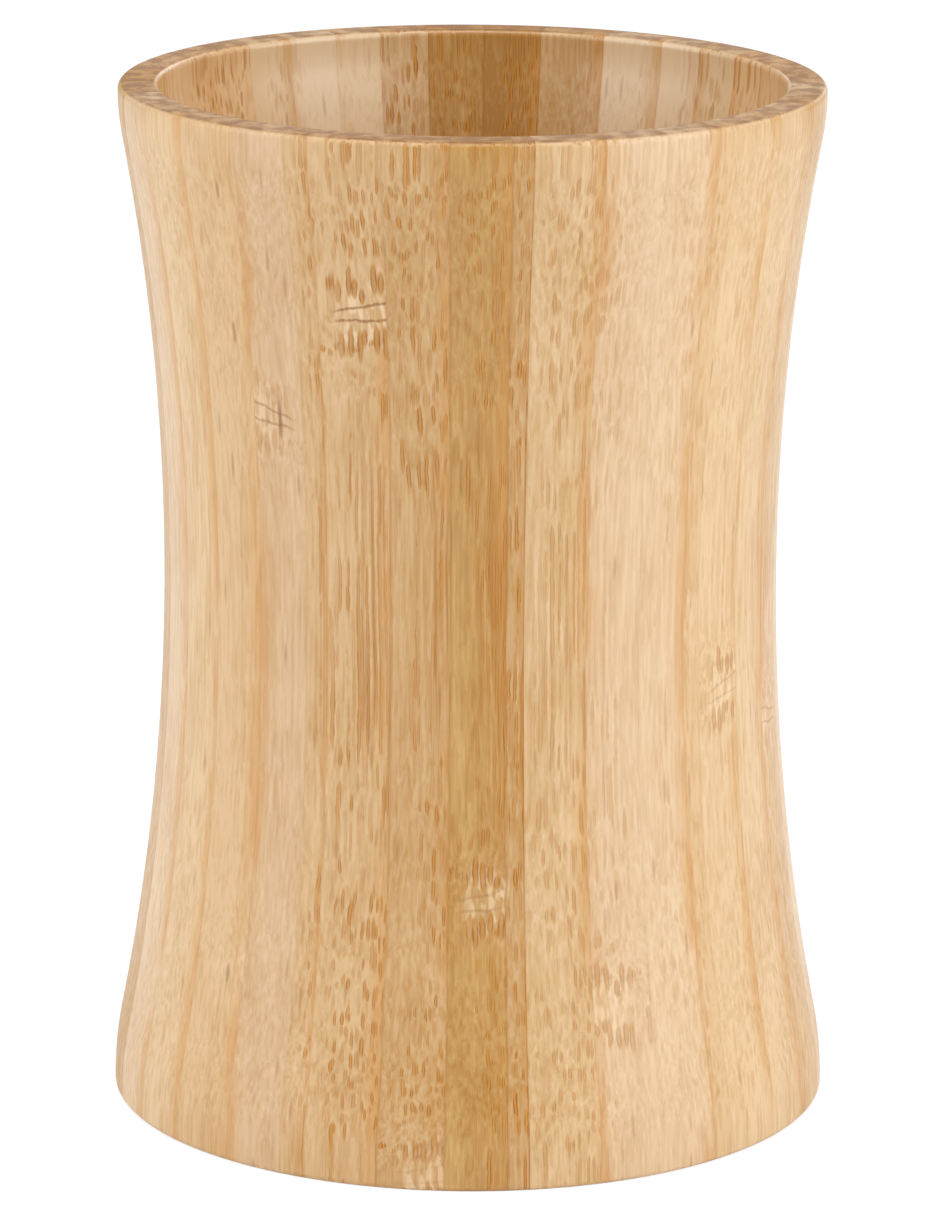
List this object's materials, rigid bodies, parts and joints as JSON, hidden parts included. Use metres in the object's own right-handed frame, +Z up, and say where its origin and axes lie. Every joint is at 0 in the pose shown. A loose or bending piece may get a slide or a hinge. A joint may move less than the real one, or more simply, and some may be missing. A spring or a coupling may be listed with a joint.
{
  "type": "bamboo cup",
  "caption": "Waisted tumbler turned from a ring of glued bamboo staves, open at the top, with a round laminated bamboo floor set in from below.",
  "frame": {"origin": "centre of the foot ring, on the surface that the cup stands on", "axes": "+Z up through the cup's axis, towards the open rim; the first stave joint lies at -154.7 degrees from +X, and the floor strips run along Y"},
  "size_m": [0.0768, 0.0768, 0.11],
  "materials": {
    "bamboo_straw": "satin clear lacquer on straw-coloured bamboo",
    "bamboo_honey": "satin clear lacquer on honey bamboo",
    "bamboo_cream": "satin clear lacquer on cream bamboo",
    "bamboo_wheat": "satin clear lacquer on wheat bamboo",
    "bamboo_floor": "satin clear lacquer on laminated bamboo board"
  },
  "bodies": {
    "root": {"stave_01": "bamboo_straw", "stave_02": "bamboo_wheat", "stave_03": "bamboo_cream", "stave_04": "bamboo_wheat", "stave_05": "bamboo_wheat", "stave_06": "bamboo_wheat", "stave_07": "bamboo_honey", "stave_08": "bamboo_wheat", "stave_09": "bamboo_straw", "stave_10": "bamboo_cream", "stave_11": "bamboo_cream", "stave_12": "bamboo_wheat", "stave_13": "bamboo_straw", "stave_14": "bamboo_straw", "stave_15": "bamboo_wheat", "stave_16": "bamboo_cream", "stave_17": "bamboo_straw", "stave_18": "bamboo_wheat", "stave_19": "bamboo_straw", "stave_20": "bamboo_straw", "stave_21": "bamboo_cream", "stave_22": "bamboo_cream", "stave_23": "bamboo_wheat", "stave_24": "bamboo_honey", "stave_25": "bamboo_honey", "stave_26": "bamboo_wheat", "stave_27": "bamboo_straw", "stave_28": "bamboo_cream", "stave_29": "bamboo_straw", "stave_30": "bamboo_straw", "stave_31": "bamboo_wheat", "stave_32": "bamboo_straw", "stave_33": "bamboo_honey", "stave_34": "bamboo_straw", "stave_35": "bamboo_cream", "floor_strip_1": "bamboo_floor", "floor_strip_2": "bamboo_floor", "floor_strip_3": "bamboo_floor", "floor_strip_4": "bamboo_floor", "floor_strip_5": "bamboo_floor", "floor_strip_6": "bamboo_floor", "floor_strip_7": "bamboo_floor", "floor_strip_8": "bamboo_floor", "floor_strip_9": "bamboo_floor"}
  },
  "joints": []
}
